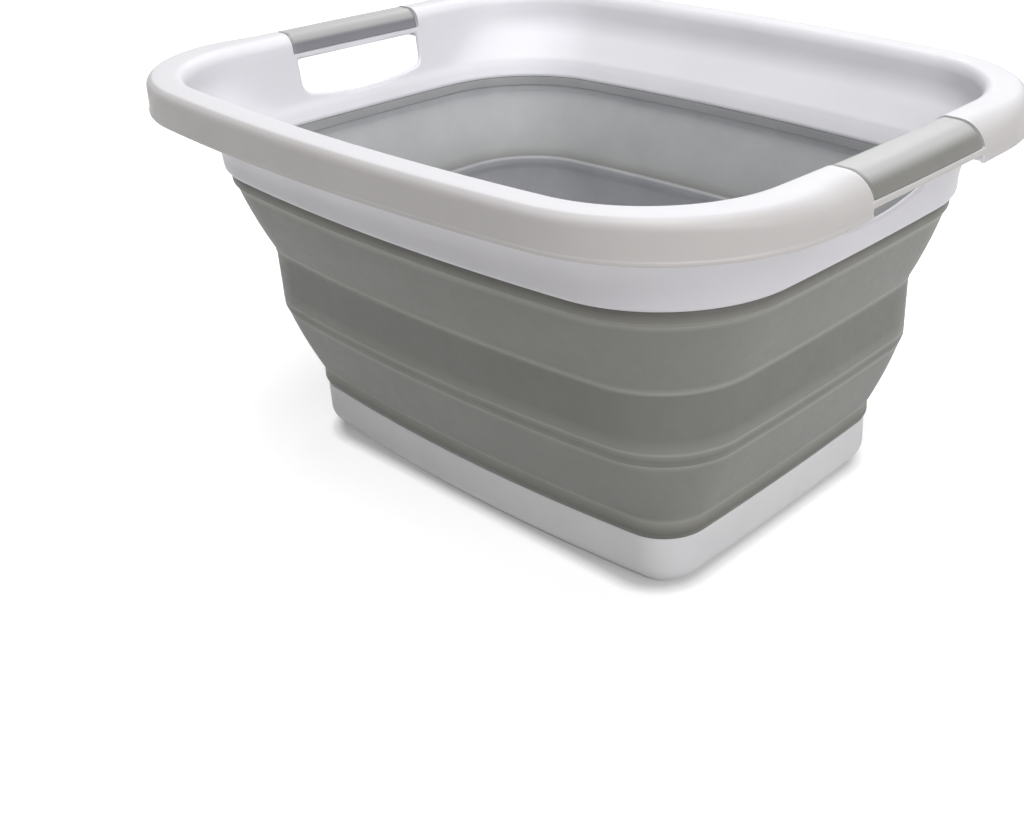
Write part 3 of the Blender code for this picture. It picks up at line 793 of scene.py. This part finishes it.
# At each end the lip is filled to make the bar, the slot is cut under it, and then the
# seat that the grip is let into. The cutting cores stand well clear of the lip.
fill_low = lip_bottom + 0.0008
fill = lip_crown(lip_wall / 2, fill_low, rim_top - lip_inner_rounding)
fill.append(((collar_face(fill_low, True) + collar_face(fill_low, False)) / 2, fill_low))
bar_half = slot_half + slot_flare + 0.0032
core_clear = 0.004
for end, side in ((1, "right"), (-1, "left")):
    bar = end_run("bar_fill_" + side, lambda y: fill, bar_half, end)
    cut_or_join(rim, bar, "UNION")
    cut_or_join(rim, slot_cutter("slot_core_" + side, end), "DIFFERENCE")
    seat_low = (grip_outer_low - grip_gap, grip_inner_low - grip_gap)
    seat = lip_crown(grip_sink + grip_wall + grip_gap, *seat_low)
    seat += [(collar_inner - core_clear, seat_low[1]),
             (collar_inner - core_clear, rim_top + core_clear),
             (lip_half + core_clear, rim_top + core_clear),
             (lip_half + core_clear, seat_low[0])]
    core = end_run("grip_seat_" + side, lambda y: seat, grip_half + grip_end_gap, end)
    cut_or_join(rim, core, "DIFFERENCE")
bpy.ops.object.mode_set(mode="EDIT")
finish_mesh(rim)
white_rim = polypropylene("moulded_white_polypropylene_rim", "#FAF9FE", "#F6F5FA")

# Painted shade on the white: the lip's top is painted a little darker, its outer face darker and
# warmer the more it turns outwards, the outside of the collar darker, and the inside of the
# collar darker towards its thick foot.
tree = white_rim.node_tree
shader = tree.nodes["Principled BSDF"]
plain_white = shader.inputs["Base Color"].links[0].from_socket
painted_shade_colour = add(tree, "ShaderNodeAttribute", attribute_name="painted_light").outputs["Color"]
shaded_white = add(tree, "ShaderNodeMix", data_type="RGBA", blend_type="MULTIPLY")
shaded_white.inputs[0].default_value = 1.0
tree.links.new(plain_white, shaded_white.inputs[6])
tree.links.new(painted_shade_colour, shaded_white.inputs[7])
tree.links.new(shaded_white.outputs[2], shader.inputs["Base Color"])
lip_side_shade = (0.58, 0.562, 0.53)
lip_top_shade = (0.86, 0.86, 0.855)
inner_wall = (1.0, 1.0, 1.0)
collar_outside_shade = (0.78, 0.77, 0.775)
collar_foot_shade = (0.80, 0.80, 0.805)
side_gain = 1.2
lip_edge = lip_bottom - 0.0004
foot_fade_start = shoulder_top - 0.0050
foot_fade = 0.0080
# The painted shade is set for each corner from its height and from how far its normal turns
# outwards.
painted_light = rim.data.attributes.new("painted_light", "FLOAT_COLOR", "POINT")
for corner, normal in zip(rim.data.vertices, rim.data.vertex_normals):
    outwards = (normal.vector.x * corner.co.x + normal.vector.y * corner.co.y) / math.hypot(
        corner.co.x, corner.co.y)
    if corner.co.z > lip_edge:
        side_shade = lip_side_shade if outwards > 0 else inner_wall
        share = min(side_gain * abs(outwards), 1.0)
        shade = [top + (down - top) * share for top, down in zip(lip_top_shade, side_shade)]
    elif outwards > 0:
        shade = collar_outside_shade
    else:
        up = min(max((corner.co.z - foot_fade_start) / foot_fade, 0.0), 1.0)
        shade = [low + (high - low) * up for low, high in zip(collar_foot_shade, inner_wall)]
    painted_light.data[corner.index].color = (*shade, 1.0)
rim.data.materials.clear()
rim.data.materials.append(white_rim)
for face in rim.data.polygons:
    face.material_index = 0
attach(rim, "rim")
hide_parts("rim_end_right", "rim_end_left", "rim_side_front", "rim_side_back")


# Grips: a soft grey elastomer saddle over the bar at each end, let into the lip, with
#  rounded ends that leave a dark gap round them. Its crown carries a painted highlight that
#  gives way to painted shade just short of its ends, and painted light makes its upright
#  inner side cooler and paler than its outer one.

# Polished by hands, the elastomer is smoother here than on the bellows, and a soft coat
# gives its crown a faint sheen.
# Its inside pair of colours is the painted light on its inner side, and its highlight colour the
# painted highlight on its crown.
grey_grip = elastomer("moulded_grey_elastomer_grip", ("#75746E", "#6F6E69"),
                      ("#8E8D94", "#88878E"), "#B5B6B5", bloom=0.06, satin=(0.33, 0.42))
grip_shader = grey_grip.node_tree.nodes["Principled BSDF"]
grip_shader.inputs["Coat Weight"].default_value = 0.35
grip_shader.inputs["Coat Roughness"].default_value = 0.34
grip_end_drop = 0.0017
grip_arris = 0.0008
arris_turn = math.radians(50)


def grip_section(y):
    """The saddle's section, its skin drawn in towards the rounded ends."""
    past = max((abs(y) - grip_half + grip_end_rounding) / grip_end_rounding, 0.0)
    drop = grip_end_drop * (1 - math.sqrt(max(1 - past ** 2, 0.0)))
    skin = lip_crown(grip_sink + drop, grip_outer_low, grip_inner_low, fine=14)
    under = lip_crown(grip_sink + grip_wall, grip_outer_low, grip_inner_low, fine=14)
    return skin + under[::-1]


def mark_grip(grip, end):
    """Paints a highlight on the grip's crown, by how far each corner faces up, fading to
    painted shade just short of its ends, and paints light on the skin that faces the
    basin's middle."""
    outer_start = 0.64
    inner_start = 0.20
    highlight_fade = 0.22
    shaded_end = 0.0010
    end_shade_fade = 0.0022
    facing_gain = 2
    crown_highlight = grip.data.attributes.new("painted_highlight", "FLOAT", "POINT")
    inner_side_light = grip.data.attributes.new("painted_inner_light", "FLOAT", "POINT")
    for corner, normal in zip(grip.data.vertices, grip.data.vertex_normals):
        outwards = normal.vector.x * end
        start = outer_start if outwards > 0 else inner_start
        crown_lit = min(max((normal.vector.z - start) / highlight_fade, 0.0), 1.0)
        from_end = min(max((grip_half - abs(corner.co.y) - shaded_end) / end_shade_fade, 0.0), 1.0)
        crown_highlight.data[corner.index].value = crown_lit * from_end
        inner_side_light.data[corner.index].value = min(max(-facing_gain * outwards, 0.0), 1.0)


for end, side in ((1, "right"), (-1, "left")):
    grip = end_run("grip_" + side, grip_section, grip_half, end,
                   rounding=grip_end_rounding, steps=14)
    bpy.ops.object.mode_set(mode="EDIT")
    bpy.ops.mesh.select_all(action="DESELECT")
    mesh = bmesh.from_edit_mesh(grip.data)
    for edge in mesh.edges:
        if edge.calc_face_angle(0) > arris_turn:
            edge.select_set(True)
    bmesh.update_edit_mesh(grip.data)
    bpy.ops.mesh.bevel(offset=grip_arris, segments=4, clamp_overlap=True)
    finish_mesh(grip)
    mark_grip(grip, end)
    grip.data.materials.append(grey_grip)
    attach(grip, "rim")
    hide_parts("handle_grip_" + side)


# Studio: a plain pale floor, wide soft lamps overhead and in front, weaker ones from the
# right and behind, and a white surround. The camera stands where the photograph was taken.

white = (1.0, 1.0, 1.0, 1.0)
middle_grey = (0.52, 0.52, 0.52, 1.0)
floor_size = 24
floor_drop = 0.0001
under_tray = (0.137, 0.083, 0.0)
glow_start = 0.031
glow_reached = 0.042
glow_end = 3.0
# The glow right at the tray's foot is low, a painted contact shadow.
painted_shadow_glow = 0.22
glow_near = 0.74
glow_added_far = 0.65


def directly_seen(tree):
    """1 where the camera sees a thing straight, mirrored or through glass, and else 0."""
    rays = add(tree, "ShaderNodeLightPath").outputs
    mirrored = add(tree, "ShaderNodeMath",
                   {0: rays["Is Camera Ray"], 1: rays["Is Glossy Ray"]}, operation="MAXIMUM")
    return add(tree, "ShaderNodeMath",
               {0: mirrored.outputs[0], 1: rays["Is Transmission Ray"]},
               operation="MAXIMUM").outputs[0]


bpy.ops.object.select_all(action="DESELECT")
bpy.ops.mesh.primitive_plane_add(size=floor_size, location=(0, 0, 0))
floor = bpy.context.active_object
floor.name = "studio_floor"
for corner in floor.data.vertices:
    corner.co.z = -floor_drop

# Matt white paper. To the camera it glows up to plain white, by its distance from a
#  rectangle under the tray, and is a middle grey under that glow, so that it still takes
#  the shadow. Close round the tray's foot the glow is weaker, which paints a contact shadow
#  there. The object gets only what the paper would reflect.
paper = bpy.data.materials.new("matt_white_paper_floor")
paper.use_nodes = True
tree = paper.node_tree
seen = directly_seen(tree)
sheet = add(tree, "ShaderNodeMix", {0: seen}, data_type="RGBA")
sheet.inputs[6].default_value = linear("#ECECEB")
sheet.inputs[7].default_value = middle_grey
shader = tree.nodes["Principled BSDF"]
tree.links.new(sheet.outputs[2], shader.inputs["Base Color"])
nothing = (0.0, 0.0, 0.0)
place = add(tree, "ShaderNodeTexCoord").outputs["Object"]
spot = add(tree, "ShaderNodeVectorMath", {0: place}, operation="ABSOLUTE")
for turn, bound in (("SUBTRACT", under_tray), ("MAXIMUM", nothing)):
    spot = add(tree, "ShaderNodeVectorMath", {0: spot.outputs[0]}, operation=turn)
    spot.inputs[1].default_value = bound
away = add(tree, "ShaderNodeVectorMath", {0: spot.outputs[0]}, operation="LENGTH")
near = add(tree, "ShaderNodeMapRange", {"Value": away.outputs["Value"]},
           **{"From_Min": glow_start, "From_Max": glow_reached,
              "To_Min": painted_shadow_glow, "To_Max": glow_near})
far = add(tree, "ShaderNodeMapRange", {"Value": away.outputs["Value"]},
          **{"From_Min": glow_reached, "From_Max": glow_end,
             "To_Min": 0.0, "To_Max": glow_added_far})
glow = add(tree, "ShaderNodeMath", {0: near.outputs["Result"], 1: far.outputs["Result"]},
           operation="ADD")
lifted = add(tree, "ShaderNodeMath", {0: seen, 1: glow.outputs[0]}, operation="MULTIPLY")
tree.links.new(lifted.outputs[0], shader.inputs["Emission Strength"])
shader.inputs["Emission Color"].default_value = white
shader.inputs["Roughness"].default_value = 0.9
shader.inputs["Specular IOR Level"].default_value = 0.0
floor.data.materials.append(paper)

# The surround is white to the camera and only fills the shadows a little.
world = bpy.data.worlds.new("white_surround")
bpy.context.scene.world = world
world.use_nodes = True
tree = world.node_tree
tree.nodes.clear()
dim = add(tree, "ShaderNodeBackground", Color=white, Strength=0.06)
bright = add(tree, "ShaderNodeBackground", Color=white, Strength=1.0)
both = add(tree, "ShaderNodeMixShader",
           {0: directly_seen(tree), 1: dim.outputs[0], 2: bright.outputs[0]})
add(tree, "ShaderNodeOutputWorld", {"Surface": both.outputs[0]})


def soft_lamp(name, place, aim, width, power):
    """A round soft box of a width in metres and a power in watts, turned to its aim."""
    data = bpy.data.lights.new(name, "AREA")
    data.shape = "DISK"
    data.size = width
    data.energy = power
    lamp = bpy.data.objects.new(name, data)
    bpy.context.scene.collection.objects.link(lamp)
    lamp.location = place
    way = [aim[i] - place[i] for i in range(3)]
    lamp.rotation_euler = (math.atan2(math.hypot(way[0], way[1]), -way[2]), 0,
                           math.atan2(way[1], way[0]) - math.pi / 2)


soft_lamp("overhead_lamp", (0.25, -0.10, 3.4), (0, 0, 0.1), 2.2, 68)
soft_lamp("front_lamp", (1.8, -1.4, 2.35), (0, 0, 0.15), 1.6, 25)
soft_lamp("side_lamp", (2.6, -0.4, 1.3), (0, 0, 0.15), 1.6, 19)
soft_lamp("back_lamp", (-0.9, 1.75, 1.7), (0, 0, 0.2), 1.6, 9)
soft_lamp("low_front_lamp", (1.15, -0.95, 0.16), (0.15, 0, 0.08), 0.7, 0.4)

# The camera's place, turn, lens and shift were fitted to points along the photograph's
# rim, seams and tray.
azimuth = math.radians(40.7267)
elevation = math.radians(28.1472)
roll = math.radians(-0.45804)
standpoint = (0.58057409, -0.58971622, 0.4818673)
back = (math.sin(azimuth) * math.cos(elevation), -math.cos(azimuth) * math.cos(elevation),
        math.sin(elevation))
right = (math.cos(azimuth), math.sin(azimuth), 0.0)
up = (back[1] * right[2] - back[2] * right[1], back[2] * right[0] - back[0] * right[2],
      back[0] * right[1] - back[1] * right[0])
across = [right[i] * math.cos(roll) + up[i] * math.sin(roll) for i in range(3)]
upright = [-right[i] * math.sin(roll) + up[i] * math.cos(roll) for i in range(3)]
camera_data = bpy.data.cameras.new("camera")
camera = bpy.data.objects.new("camera", camera_data)
bpy.context.scene.collection.objects.link(camera)
camera.matrix_world = Matrix(
    [[across[i], upright[i], back[i], standpoint[i]] for i in range(3)] + [[0, 0, 0, 1]])
camera_data.sensor_fit = "HORIZONTAL"
camera_data.sensor_width = 36
camera_data.lens = 44.856
camera_data.shift_x = -0.14861
camera_data.shift_y = -0.02641
bpy.context.scene.camera = camera
bpy.context.scene.view_settings.view_transform = "Standard"
